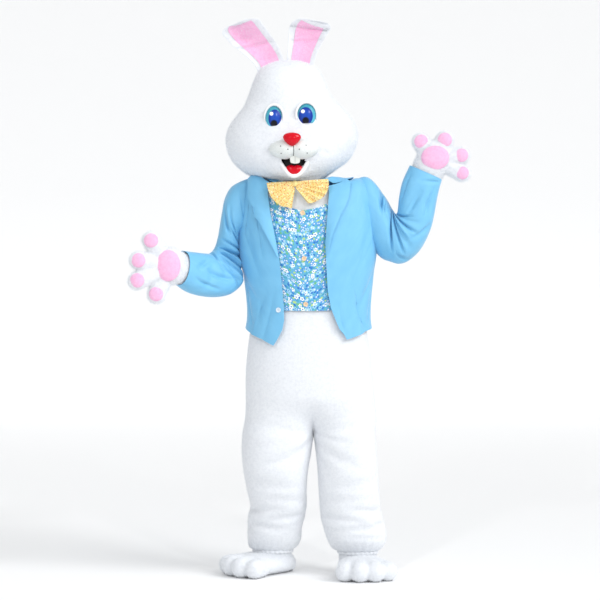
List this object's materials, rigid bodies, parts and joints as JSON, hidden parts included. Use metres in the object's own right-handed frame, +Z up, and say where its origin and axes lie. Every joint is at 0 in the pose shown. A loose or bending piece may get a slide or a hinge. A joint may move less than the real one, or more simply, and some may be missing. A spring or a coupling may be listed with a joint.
{
  "type": "rabbit mascot costume",
  "caption": "Worn white rabbit mascot costume with a large head, plush jumpsuit, vest, open jacket, bow tie, gloves and boot covers.",
  "frame": {"origin": "middle of the neck opening, where the costume's head rests on the wearer", "axes": "+Z up, -Y the way the costume faces, +X the wearer's left"},
  "size_m": [1.1988, 0.5038, 2.004],
  "materials": {
    "white_plush": "short napped plush",
    "pink_plush": "short napped plush",
    "moulded_white": "smooth flocked moulding",
    "gloss_red": "glossy",
    "mouth_black": "matt black mesh",
    "tooth_ivory": "satin",
    "eye_blue": "glossy, painted",
    "dotted_yellow": "printed cotton with small dots",
    "flower_print": "printed cotton with small flowers",
    "blue_poplin": "satin-like poplin",
    "peach_button": "satin",
    "pearl_button": "pearly"
  },
  "bodies": {
    "root": {"head_l": "white_plush", "head_r": "white_plush", "ear_l": "white_plush", "ear_r": "white_plush", "ear_lining_l": "pink_plush", "ear_lining_r": "pink_plush", "eye_l": "eye_blue", "eye_r": "eye_blue", "nose": "gloss_red", "muzzle": "moulded_white", "lower_lip": "moulded_white", "mouth_lining": "mouth_black", "tooth_l": "tooth_ivory", "tooth_r": "tooth_ivory", "tongue": "gloss_red", "bow_wing_l": "dotted_yellow", "bow_wing_r": "dotted_yellow", "bow_knot": "dotted_yellow", "jumpsuit_front_l": "white_plush", "jumpsuit_front_r": "white_plush", "jumpsuit_back_l": "white_plush", "jumpsuit_back_r": "white_plush", "ankle_band_l": "white_plush", "ankle_band_r": "white_plush", "vest_front_l": "flower_print", "vest_front_r": "flower_print", "vest_back": "flower_print", "vest_button_1": "peach_button", "vest_button_2": "peach_button", "vest_button_3": "peach_button", "jacket_front_l": "blue_poplin", "jacket_front_r": "blue_poplin", "jacket_back": "blue_poplin", "jacket_sleeve_l": "blue_poplin", "jacket_sleeve_r": "blue_poplin", "lapel_l": "blue_poplin", "lapel_r": "blue_poplin", "collar": "blue_poplin", "jacket_button": "pearl_button", "glove_palm_l": "white_plush", "glove_palm_r": "white_plush", "glove_back_l": "white_plush", "glove_back_r": "white_plush", "palm_pad_l": "pink_plush", "palm_pad_r": "pink_plush", "finger_pad_l_1": "pink_plush", "finger_pad_l_2": "pink_plush", "finger_pad_l_3": "pink_plush", "finger_pad_l_4": "pink_plush", "finger_pad_r_1": "pink_plush", "finger_pad_r_2": "pink_plush", "finger_pad_r_3": "pink_plush", "finger_pad_r_4": "pink_plush", "foot_upper_l": "white_plush", "foot_upper_r": "white_plush", "sole_l": "white_plush", "sole_r": "white_plush"}
  },
  "joints": []
}
